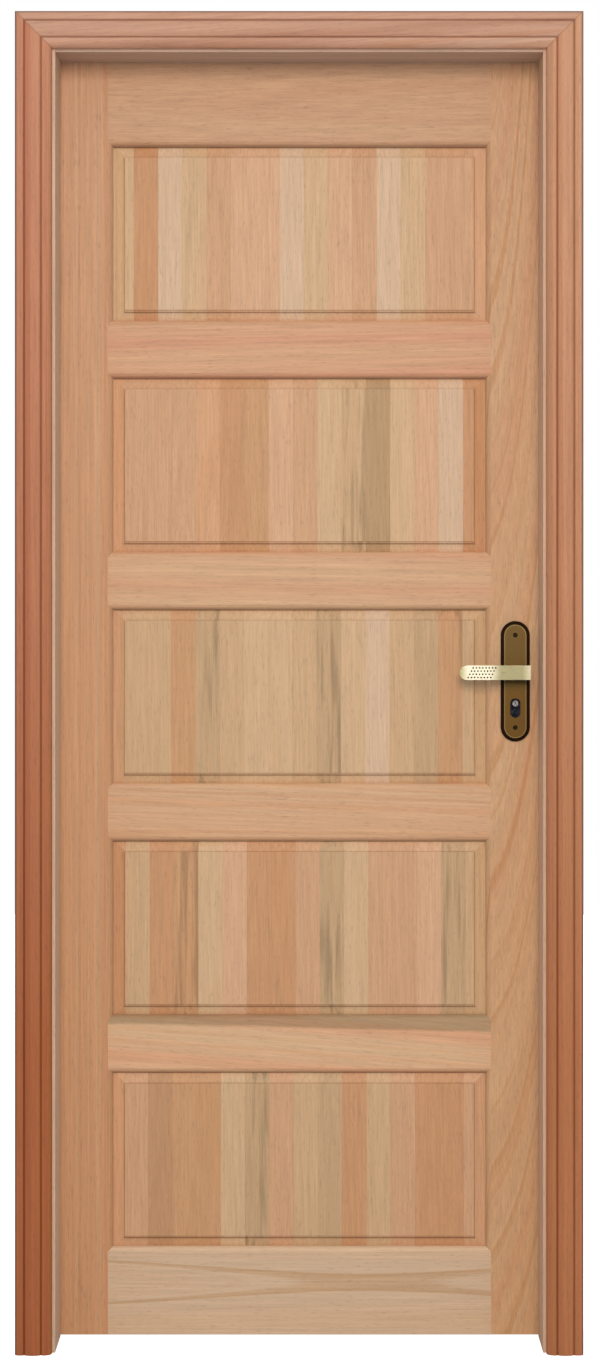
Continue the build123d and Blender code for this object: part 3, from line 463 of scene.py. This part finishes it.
def stave_wood(tree, spot, middle, low, first_joint, names):
    """Glued staves: a tone for each, its own cut of a log, streaks on some and a fine glue line."""
    start = sight_x + first_joint * MM - STAVE
    steps = add(tree, "SeparateXYZ", {0: spot}, out="X")
    run = add(tree, "Math", {0: steps, 1: 1 / STAVE, 2: -start / STAVE}, operation="MULTIPLY_ADD")
    number = add(tree, "Math", {0: run}, operation="FLOOR")
    within = add(tree, "Math", {0: run}, operation="FRACT")
    slot = {0: number, 1: 1 / STAVE_SLOTS, 2: 0.5 / STAVE_SLOTS}
    share = add(tree, "Math", slot, operation="MULTIPLY_ADD")
    tones = [stave_tones[name.removeprefix(streaky)] for name in names]
    stops = [(index / STAVE_SLOTS, tone) for index, tone in enumerate(tones)]
    tone = add(tree, "ValToRGB", {0: share}, stops=stops, stepped=True)
    own = add(tree, "Math", {0: number, 1: SEED_STEP * low.z + SEED_START}, operation="ADD")
    cut = add(tree, "TexWhiteNoise", {"W": own}, out="Color", noise_dimensions="1D")
    moved = add(tree, "VectorMath", {0: cut, 1: CUT_REACH, 2: spot}, operation="MULTIPLY_ADD")
    centred = add(tree, "VectorMath", {0: moved, 1: middle}, operation="SUBTRACT")
    wood = growth(tree, centred, **stave_grain)
    colour = add(tree, "VectorMath", {0: tone, "Scale": wood["shade"]}, operation="SCALE")
    line = add(tree, "MapRange", {"Value": wood["fine"], **STAVE_LINES})
    colour = shaded(tree, colour, line, STAVE_LATE)
    marked = [float(name.startswith(streaky)) for name in names]
    if any(marked):
        marks = [(index / STAVE_SLOTS, mark) for index, mark in enumerate(marked)]
        chosen = add(tree, "ValToRGB", {0: share}, stops=marks, stepped=True)
        slanted = add(tree, "Mapping", {"Vector": moved, **STREAK_RUN})
        stain = add(tree, "TexNoise", {"Vector": slanted, "Scale": 1 / STREAK_SIZE, "Detail": 2.0})
        band = add(tree, "MapRange", {"Value": stain, **STREAKS})
        amount = add(tree, "Math", {0: band, 1: chosen}, operation="MULTIPLY")
        colour = shaded(tree, colour, amount, STREAK_OLIVE)
    side = add(tree, "Math", {0: within, 1: 0.5}, operation="SUBTRACT")
    off = add(tree, "Math", {0: side}, operation="ABSOLUTE")
    joint = {"From Min": 0.5 - GLUE_LINE / STAVE, "From Max": 0.5, "To Max": GLUE_DEPTH}
    glue = add(tree, "MapRange", {"Value": off, **joint})
    return shaded(tree, colour, glue, GLUE_BROWN), wood["fibre"]


def raised_field(tree, spot, middle, high, colour):
    """A panel's raised field: painted shade in its step, painted shadow along the sight edges and painted
    light on the milled margin.
    """
    reach = high - middle
    inside = add(tree, "VectorMath", {0: spot, 1: middle}, operation="SUBTRACT")
    parts = add(tree, "SeparateXYZ", {0: inside}).node
    up = parts.outputs["Z"]
    aside = add(tree, "Math", {0: parts.outputs["X"]}, operation="ABSOLUTE")
    past_side = add(tree, "Math", {0: aside, 1: reach.x - FIELD_SIDE}, operation="SUBTRACT")
    past_top = add(tree, "Math", {0: up, 1: reach.z - FIELD_END}, operation="SUBTRACT")
    fallen = add(tree, "Math", {0: FIELD_END - reach.z, 1: up}, operation="SUBTRACT")
    beyond = add(tree, "Math", {0: past_side, 1: past_top}, operation="MAXIMUM")
    over = add(tree, "Math", {0: beyond, 1: fallen}, operation="MAXIMUM")
    near = add(tree, "Math", {0: over, 1: 1 / STEP_SPAN, 2: 0.5}, operation="MULTIPLY_ADD")
    darkening = add(tree, "ValToRGB", {0: near}, stops=STEP_SHADES)
    for edge, limits in ((fallen, LOW_STEP), (past_top, LIT_STEP)):
        part = add(tree, "MapRange", {"Value": edge, **limits})
        darkening = add(tree, "Math", {0: darkening, 1: part}, operation="MULTIPLY")
    # Painted shadow along the sight edges
    for edge, sight, depth in ((up, reach.z - SIGHT, UNDER_RAIL), (aside, reach.x - SIGHT, BESIDE_STILE)):
        limits = {"From Min": sight - SIGHT_SHADE, "From Max": sight, "To Max": depth}
        dark = add(tree, "MapRange", {"Value": edge, **limits})
        darkening = add(tree, "Math", {0: darkening, 1: dark}, operation="MAXIMUM")
    # Painted light on the margins
    lifted_margin = add(tree, "MapRange", {"Value": over, **MARGIN_LIFT})
    colour = add(tree, "VectorMath", {0: colour, "Scale": lifted_margin}, operation="SCALE")
    return shaded(tree, colour, darkening, STEP_SHADE_BROWN)


for node, (first_joint, staves) in panel_staves.items():
    low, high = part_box(node)
    middle = (low + high) / 2
    made, tree, shader = finish_named(f"glued_eucalyptus_staves_{node}", Specular_IOR_Level=STAVE_SHEEN)
    spot = add(tree, "TexCoord", {}, out="Object")
    colour, fibre = stave_wood(tree, spot, middle, low, first_joint, staves.split())
    colour = raised_field(tree, spot, middle, high, colour)
    oiled(tree, shader, colour, fibre)
    wear(node, made)
    soften(node, PANEL_ARRIS)

# Hinges: three butts of pressed steel, each a plate let into the jamb, one into the leaf, and a headed pin.
# The plates were tumbled, brushed and nickel plated, which leaves a soft grey sheen with upright strokes.
# Real strokes are much finer than 0.8 mm, and are drawn that coarse so that they show.
HINGE_ARRIS = 0.4 * MM
BRUSH_STROKE = 0.8 * MM
BRUSH_DRAG = (1, 1, 0.08)
nickel_codes = ((0.3, "#A3A19C"), (0.7, "#C9C7C2"))
satin_nickel = metal("satin_nickel_plated_steel", BRUSH_STROKE, nickel_codes, gloss=(0.22, 0.42), detail=2.0,
                     drag=BRUSH_DRAG)
for place in ("bottom", "middle", "top"):
    for piece in ("jamb_hinge_plate", "leaf_hinge_plate", "hinge_pin"):
        wear(f"{piece}_{place}", satin_nickel)
        soften(f"{piece}_{place}", HINGE_ARRIS)

# Hinge screws: countersunk steel screws with a cross recess, three through each plate.
# They are turned with a round head that sits a hair proud, and driven into the jamb and the leaf's edge.
# Their nickel plating gives them the hinges' grey sheen.
SCREW_RADIUS = 2 * MM
SCREW_HEAD_RADIUS = 4 * MM
SCREW_HEAD_HEIGHT = 2 * MM
SCREW_HEAD_RIM = 0.3 * MM
SCREW_POINT = 4 * MM
SCREW_STEPS = 32
RECESS_ARM = 2.4 * MM
RECESS_HALF = 0.5 * MM
RECESS_DEPTH = 1.2 * MM
SLOT_ARM = 3.4 * MM
HEAD_PROUD = 0.1 * MM
# Faces above this height belong to the flat of the head
HEAD_TOP = -0.001 * MM


def screw_spots(node):
    """The lowest and highest corner of each screw in a frame piece that holds several."""
    mesh = bmesh.new()
    mesh.from_mesh(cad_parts[node].data)
    bmesh.ops.remove_doubles(mesh, verts=mesh.verts, dist=SHARED_POINT)
    waiting = set(mesh.verts)
    spots = []
    while waiting:
        found = {waiting.pop()}
        edge_of = list(found)
        while edge_of:
            for edge in edge_of.pop().link_edges:
                for vert in edge.verts:
                    if vert not in found:
                        found.add(vert)
                        edge_of.append(vert)
        waiting -= found
        corners = [[pick(vert.co[axis] for vert in found) for axis in range(3)] for pick in (min, max)]
        spots.append((Vector(corners[0]), Vector(corners[1])))
    mesh.free()
    return spots


def turned_screw(mesh, head, inward, length, crossed):
    """One screw from its head's centre inward: a spun outline with a slot or a cross sunk in its head."""
    outline = [
        (0, 0), (SCREW_HEAD_RADIUS, 0), (SCREW_HEAD_RADIUS, -SCREW_HEAD_RIM),
        (SCREW_RADIUS, -SCREW_HEAD_HEIGHT), (SCREW_RADIUS, SCREW_POINT - length), (0, -length),
    ]
    one = bmesh.new()
    verts = [one.verts.new((across, 0, up)) for across, up in outline]
    edges = [one.edges.new(pair) for pair in zip(verts, verts[1:])]
    bmesh.ops.spin(one, geom=verts + edges, cent=(0, 0, 0), axis=(0, 0, 1), angle=2 * math.pi,
                   steps=SCREW_STEPS, use_merge=True)
    bmesh.ops.remove_doubles(one, verts=one.verts, dist=SHARED_POINT)
    half_arm = RECESS_ARM if crossed else SLOT_ARM
    for axis in ((1, 0, 0), (0, 1, 0)):
        for reach in (RECESS_HALF, half_arm):
            for sign in (-1, 1):
                top = [face for face in one.faces if face.calc_center_median().z > HEAD_TOP]
                top_edges = list({edge for face in top for edge in face.edges})
                top_verts = list({vert for face in top for vert in face.verts})
                spot = [sign * reach * share for share in axis]
                bmesh.ops.bisect_plane(one, geom=top + top_edges + top_verts, plane_co=spot, plane_no=axis)
    sunk = []
    for face in one.faces:
        middle = face.calc_center_median()
        if middle.z > HEAD_TOP:
            across, up = abs(middle.x), abs(middle.y)
            in_slot = across < RECESS_HALF and up < half_arm
            in_cross = crossed and up < RECESS_HALF and across < half_arm
            if in_slot or in_cross:
                sunk.append(face)
    pushed = bmesh.ops.extrude_face_region(one, geom=sunk)["geom"]
    floor = [item for item in pushed if isinstance(item, bmesh.types.BMVert)]
    bmesh.ops.translate(one, verts=floor, vec=(0, 0, -RECESS_DEPTH))
    bmesh.ops.delete(one, geom=sunk, context="FACES")
    bmesh.ops.dissolve_degenerate(one, dist=SHARED_POINT, edges=one.edges)
    bmesh.ops.recalc_face_normals(one, faces=one.faces)
    aim = Vector((0, 0, -1)).rotation_difference(inward).to_matrix().to_4x4()
    aim.translation = head
    bmesh.ops.transform(one, verts=one.verts, matrix=aim)
    spare = bpy.data.meshes.new("one screw")
    one.to_mesh(spare)
    one.free()
    mesh.from_mesh(spare)
    bpy.data.meshes.remove(spare)


def fasten(name, node, inward, body, material, crossed=True):
    """Turned screws in place of a frame piece's faceted ones, each where its own stands."""
    inward = Vector(inward)
    along = Vector([abs(share) for share in inward])
    mesh = bmesh.new()
    for low, high in screw_spots(node):
        half_length = (high - low).dot(along) / 2
        head = (low + high) / 2 - inward * (half_length + HEAD_PROUD)
        turned_screw(mesh, head, inward, 2 * half_length, crossed)
    data = bpy.data.meshes.new(name)
    mesh.to_mesh(data)
    mesh.free()
    for face in data.polygons:
        face.use_smooth = True
    data.set_sharp_from_angle(angle=SHARP_CORNER)
    data.materials.append(material)
    piece = bpy.data.objects.new(name, data)
    bpy.context.scene.collection.objects.link(piece)
    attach(piece, body)
    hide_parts(node)


fasten("turned_jamb_hinge_screws", "jamb_hinge_screws", (-1, 0, 0), "frame", satin_nickel)
fasten("turned_leaf_hinge_screws", "leaf_hinge_screws", (1, 0, 0), "leaf", satin_nickel)

# Mortise lock: a steel case let into the lock stile, with a follower for the spindle and two bolts.
# Case, follower, spindle, cam and fixing screw are zinc plated; the faceplate and bolts are nickel plated.
for node in ("lock_case", "follower", "spindle", "cylinder_cam", "cylinder_screw"):
    wear(node, zinc_plated_steel)
for node in ("lock_faceplate", "latch_bolt", "dead_bolt"):
    wear(node, satin_nickel)
    soften(node, HINGE_ARRIS)
fasten("turned_faceplate_screws", "faceplate_screws", (-1, 0, 0), "leaf", satin_nickel)

# Strike plate: a folded steel plate flush in the strike jamb, with a lip that guides the latch.
# It is nickel plated like the hinges and held by two screws.
wear("strike_plate", satin_nickel)
soften("strike_plate", HINGE_ARRIS)
fasten("turned_strike_plate_screws", "strike_plate_screws", (1, 0, 0), "frame",
       satin_nickel)

# Long plates: stamped brass with round ends, a raised field and a low rim, one on each face of the leaf.
# The field was aged to olive brown and rubbed back, which leaves a cloudy sheen; the pale line round it is a
# painted highlight.
# The rim kept its black patina.
# The field's shift from brown below to greener above is a painted reflection of the wood.
PLATE_ARRIS = 0.2 * MM
PLATE_RIM = 5.5 * MM
RIM_FADE = 0.5 * MM
# A painted highlight: a pale line just inside the field's edge
FIELD_HIGHLIGHT_LINE = 1.0 * MM
FIELD_HIGHLIGHT_HALF = 0.5 * MM
FIELD_HIGHLIGHT_DEPTH = 0.4
PATINA_CLOUD = 25 * MM
PLATE_GLOSS = {"To Min": 0.34, "To Max": 0.46}
olive_codes = ((0.2, "#584222"), (0.8, "#564529"))
low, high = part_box("front_plate")
plate_middle = (low + high) / 2
plate_radius = (high.x - low.x) / 2
plate_straight = (high.z - low.z) / 2 - plate_radius
field_edge = plate_radius - PLATE_RIM
antique_brass, tree, shader = finish_named("antique_brass_stamped", Metallic=1.0)
spot = add(tree, "TexCoord", {}, out="Object")
centred = add(tree, "VectorMath", {0: spot, 1: plate_middle}, operation="SUBTRACT")
parts = add(tree, "SeparateXYZ", {0: centred}).node
reach = add(tree, "Math", {0: parts.outputs["Z"]}, operation="ABSOLUTE")
beyond = add(tree, "Math", {0: reach, 1: plate_straight}, operation="SUBTRACT")
past = add(tree, "Math", {0: beyond, 1: 0.0}, operation="MAXIMUM")
offset = add(tree, "CombineXYZ", {"X": parts.outputs["X"], "Z": past})
out = add(tree, "VectorMath", {0: offset}, out="Value", operation="LENGTH")
rim_limits = {"From Min": field_edge - RIM_FADE, "From Max": field_edge + RIM_FADE}
rim = add(tree, "MapRange", {"Value": out, **rim_limits})
patina = add(tree, "TexNoise", {"Vector": spot, "Scale": 1 / PATINA_CLOUD, "Detail": 3.0})
# Painted reflection: the field runs from browner at its foot to greener at its top, mixed with the patina's
# cloud
reflection_lift = {0: parts.outputs["Z"], 1: 1 / (high.z - low.z), 2: patina}
patina_and_reflection = add(tree, "Math", reflection_lift, operation="MULTIPLY_ADD")
field_colour = add(tree, "ValToRGB", {0: patina_and_reflection}, stops=olive_codes)
# Painted highlight along the field's edge
highlight_band = add(tree, "Math", {0: out, 1: field_edge - FIELD_HIGHLIGHT_LINE, 2: FIELD_HIGHLIGHT_HALF}, operation="COMPARE")
highlight_amount = add(tree, "Math", {0: highlight_band, 1: FIELD_HIGHLIGHT_DEPTH}, operation="MULTIPLY")
field_highlight = {0: highlight_amount, COLOUR_A: field_colour, COLOUR_B: linear("#A08A62")}
edged = add(tree, "Mix", field_highlight, out=COLOUR_OUT, data_type="RGBA")
black_rim = {0: rim, COLOUR_A: edged, COLOUR_B: linear("#1A110B")}
colour = add(tree, "Mix", black_rim, out=COLOUR_OUT, data_type="RGBA")
tree.links.new(colour, shader.inputs["Base Color"])
rough = add(tree, "MapRange", {"Value": patina, **PLATE_GLOSS})
tree.links.new(rough, shader.inputs["Roughness"])
for node in ("front_plate", "back_plate"):
    wear(node, antique_brass)
    soften(node, PLATE_ARRIS)

# Plate screws: slotted brass screws, two to each plate, above the lever and below the key.
# They were turned and darkened with the plates they hold, which leaves them nearly black with a brown cast.
SCREW_PATINA = 3 * MM
dark_codes = ((0.35, "#120E0A"), (0.7, "#2E2518"))
darkened_brass = metal("darkened_brass_turned", SCREW_PATINA, dark_codes, gloss=(0.3, 0.5))
fasten("turned_front_plate_screws", "front_plate_screws", (0, 1, 0), "leaf",
       darkened_brass, crossed=False)
fasten("turned_back_plate_screws", "back_plate_screws", (0, -1, 0), "leaf",
       darkened_brass, crossed=False)

# Levers: a flat brass bar on a round neck, one on each face, with a skewed field of blind holes for grip.
# The bar was linished and lacquered pale gold, with fine strokes along it; the paler grip is a painted
# highlight.
# The strokes are drawn coarser than real ones so that they show, and the holes are painted near black as
# painted shade.
LEVER_ARRIS = 0.15 * MM
LINISH_STROKE = 0.7 * MM
LINISH_DRAG = (0.06, 1, 1)
LINISH_SHADE = {"From Min": 0.3, "From Max": 0.7, "To Min": 0.92, "To Max": 1.05}
LINISH_GLOSS = {"To Min": 0.22, "To Max": 0.40}
# The holes' painted shade starts just under the bar's face, stops short of its back and keeps clear of its
# edges and ends
HOLE_SHADE_FROM, HOLE_SHADE_FULL = 0.2 * MM, 0.4 * MM
HOLE_SHADE_BOTTOM = 4 * MM
EDGE_CLEAR, TIP_CLEAR, TAIL_CLEAR = 1 * MM, 6 * MM, 2 * MM
# Gold from the bar's tail to its tip; the pale band over the holed grip is a painted highlight
gold_and_highlight_codes = (
    (0.0, "#BDB8A0"), (0.12, "#938E70"), (0.42, "#938E70"),
    (0.58, "#D6D2BF"), (0.88, "#D6D2BF"), (1.0, "#989065"),
)
low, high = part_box("lever_front")
back_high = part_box("lever_back")[1]
leaf_middle = (low.y + back_high.y) / 2
bar_depth = leaf_middle - low.y
axis_z = (low.z + high.z) / 2
bar_half = (high.z - low.z) / 2
pale_brass, tree, shader = finish_named("pale_brass_linished", Metallic=1.0)
spot = add(tree, "TexCoord", {}, out="Object")
parts = add(tree, "SeparateXYZ", {0: spot}).node
drag = add(tree, "VectorMath", {0: spot, 1: LINISH_DRAG}, operation="MULTIPLY")
linish = add(tree, "TexNoise", {"Vector": drag, "Scale": 1 / LINISH_STROKE, "Detail": 2.0})
from_tail = add(tree, "Math", {0: high.x, 1: parts.outputs["X"]}, operation="SUBTRACT")
share = add(tree, "Math", {0: from_tail, 1: 1 / (high.x - low.x)}, operation="MULTIPLY")
highlit_gold = add(tree, "ValToRGB", {0: share}, stops=gold_and_highlight_codes)
scored = add(tree, "MapRange", {"Value": linish, **LINISH_SHADE})
gold = add(tree, "VectorMath", {0: highlit_gold, "Scale": scored}, operation="SCALE")
from_middle = add(tree, "Math", {0: parts.outputs["Y"], 1: leaf_middle}, operation="SUBTRACT")
depth = add(tree, "Math", {0: from_middle}, operation="ABSOLUTE")
hole_shade_depths = {"From Min": bar_depth - HOLE_SHADE_FROM, "From Max": bar_depth - HOLE_SHADE_FULL}
hole = add(tree, "MapRange", {"Value": depth, **hole_shade_depths})
height = add(tree, "Math", {0: parts.outputs["Z"], 1: axis_z}, operation="SUBTRACT")
off_axis = add(tree, "Math", {0: height}, operation="ABSOLUTE")
hole_limits = (
    (depth, bar_depth - HOLE_SHADE_BOTTOM, "GREATER_THAN"),
    (off_axis, bar_half - EDGE_CLEAR, "LESS_THAN"),
    (parts.outputs["X"], low.x + TIP_CLEAR, "GREATER_THAN"),
    (parts.outputs["X"], high.x - TAIL_CLEAR, "LESS_THAN"),
)
for measure, limit, side in hole_limits:
    inside = add(tree, "Math", {0: measure, 1: limit}, operation=side)
    hole = add(tree, "Math", {0: hole, 1: inside}, operation="MULTIPLY")
# Painted shade: the holes are painted near black
hole_shaded = {0: hole, COLOUR_A: gold, COLOUR_B: linear("#1E1A12")}
colour = add(tree, "Mix", hole_shaded, out=COLOUR_OUT, data_type="RGBA")
tree.links.new(colour, shader.inputs["Base Color"])
rough = add(tree, "MapRange", {"Value": linish, **LINISH_GLOSS})
tree.links.new(rough, shader.inputs["Roughness"])
for node in ("lever_front", "lever_back"):
    wear(node, pale_brass)
    soften(node, LEVER_ARRIS)

# Key cylinder: an oval brass body plated in black nickel, held by a screw through the lock's edge.
# A nickel plug turns in each end, with a keyway broached down its face.
# Polishing before plating leaves the body a glossy smoky black and the plug bright.
BODY_ARRIS = 0.3 * MM
PLUG_ARRIS = 0.25 * MM
BODY_SMOKE = 4 * MM
PLUG_SMOKE = 3 * MM
black_codes = ((0.35, "#17181C"), (0.7, "#34363E"))
black_nickel = metal("black_nickel_plated_brass", BODY_SMOKE, black_codes, gloss=(0.12, 0.3))
wear("cylinder_body", black_nickel)
soften("cylinder_body", BODY_ARRIS)
bright_codes = ((0.35, "#A79A92"), (0.7, "#CFC6BF"))
bright_nickel = metal("bright_nickel_plated_brass", PLUG_SMOKE, bright_codes, gloss=(0.1, 0.25))
for node in ("front_key_plug", "back_key_plug"):
    wear(node, bright_nickel)
    soften(node, PLUG_ARRIS)

# Floor: a plain pale sheet that the jamb's feet stand on.
# It is matt white paint, which the camera sees as pure white like the room.
FLOOR_HALF = 6.0
MATT = 0.9
sheet = bmesh.new()
bmesh.ops.create_grid(sheet, x_segments=1, y_segments=1, size=FLOOR_HALF)
data = bpy.data.meshes.new("floor")
sheet.to_mesh(data)
sheet.free()
white_paint, tree, shader = finish_named("matt_white_paint", Base_Color=linear("#DADADA"), Roughness=MATT,
                                         Emission_Color=linear("#FFFFFF"))
tree.links.new(add(tree, "LightPath", {}, out="Is Camera Ray"), shader.inputs["Emission Strength"])
data.materials.append(white_paint)
floor = bpy.data.objects.new("floor", data)
bpy.context.scene.collection.objects.link(floor)

# Light: a pale room that is brighter above than below, and a large warm panel before and behind the door.
# The panels hang above the door's head, so the head's underside and each rail's lower edge are darker.
# The camera sees the room itself as white. Sizes are in metres.
FLOOR_STRENGTH, CEILING_STRENGTH = 0.14, 0.80
HORIZON = 0.4
# Sockets of the Mix node when it mixes plain numbers
NUMBER_A, NUMBER_B = 2, 3
PANEL_WIDTH, PANEL_TALL = 2.0, 2.2
PANEL_ASIDE, PANEL_AWAY, PANEL_HEIGHT = 0.2, 7.0, 3.1
LIT_SPOT = Vector((0, 0, 1.3))
room = bpy.data.worlds.new("white room")
room.use_nodes = True
tree = room.node_tree
seen = add(tree, "LightPath", {}, out="Is Camera Ray")
aim = add(tree, "TexCoord", {}, out="Generated")
up = add(tree, "SeparateXYZ", {0: aim}, out="Z")
limits = {"From Min": -HORIZON, "From Max": HORIZON, "To Min": FLOOR_STRENGTH, "To Max": CEILING_STRENGTH}
lit = add(tree, "MapRange", {"Value": up, **limits})
strength = add(tree, "Mix", {0: seen, NUMBER_A: lit, NUMBER_B: 1.0})
daylight = {0: seen, COLOUR_A: linear("#DDF2FF"), COLOUR_B: linear("#FFFFFF")}
tint = add(tree, "Mix", daylight, out=COLOUR_OUT, data_type="RGBA")
white = tree.nodes["Background"]
tree.links.new(tint, white.inputs["Color"])
tree.links.new(strength, white.inputs["Strength"])
bpy.context.scene.world = room
for name, side, watts in (("front panel", -1, 262.0), ("back panel", 1, 200.0)):
    panel = bpy.data.lights.new(name, "AREA")
    panel.shape = "RECTANGLE"
    panel.size = PANEL_WIDTH
    panel.size_y = PANEL_TALL
    panel.energy = watts
    panel.color = linear("#FFEDD7")[:3]
    lamp = bpy.data.objects.new(name, panel)
    lamp.location = (-side * PANEL_ASIDE, side * PANEL_AWAY, PANEL_HEIGHT)
    lamp.rotation_euler = (LIT_SPOT - lamp.location).to_track_quat("-Z", "Y").to_euler()
    lamp.visible_camera = False
    bpy.context.scene.collection.objects.link(lamp)

# Camera: level, five metres in front of the leaf and a little above the lever, framed by a small shift.
# The image is taken as 600 by 1364 pixels, and the eye looks straight at one of them.
IMAGE_WIDTH, IMAGE_HEIGHT = 600, 1364
FOCAL_PIXELS = 3066.6
EYE_PIXEL_X, EYE_PIXEL_Y = 310.6, 559.4
EYE_PLACE = (18.4 * MM, -5027 * MM, 1278.5 * MM)
SENSOR_HEIGHT = 36.0
lens = bpy.data.cameras.new("camera")
lens.sensor_fit = "VERTICAL"
lens.sensor_height = SENSOR_HEIGHT
lens.lens = FOCAL_PIXELS * SENSOR_HEIGHT / IMAGE_HEIGHT
lens.shift_x = (IMAGE_WIDTH / 2 - EYE_PIXEL_X) / IMAGE_HEIGHT
lens.shift_y = (EYE_PIXEL_Y - IMAGE_HEIGHT / 2) / IMAGE_HEIGHT
eye = bpy.data.objects.new("camera", lens)
eye.location = EYE_PLACE
eye.rotation_euler = (math.radians(90), 0, 0)
bpy.context.scene.collection.objects.link(eye)
bpy.context.scene.camera = eye
bpy.context.scene.view_settings.view_transform = "Standard"
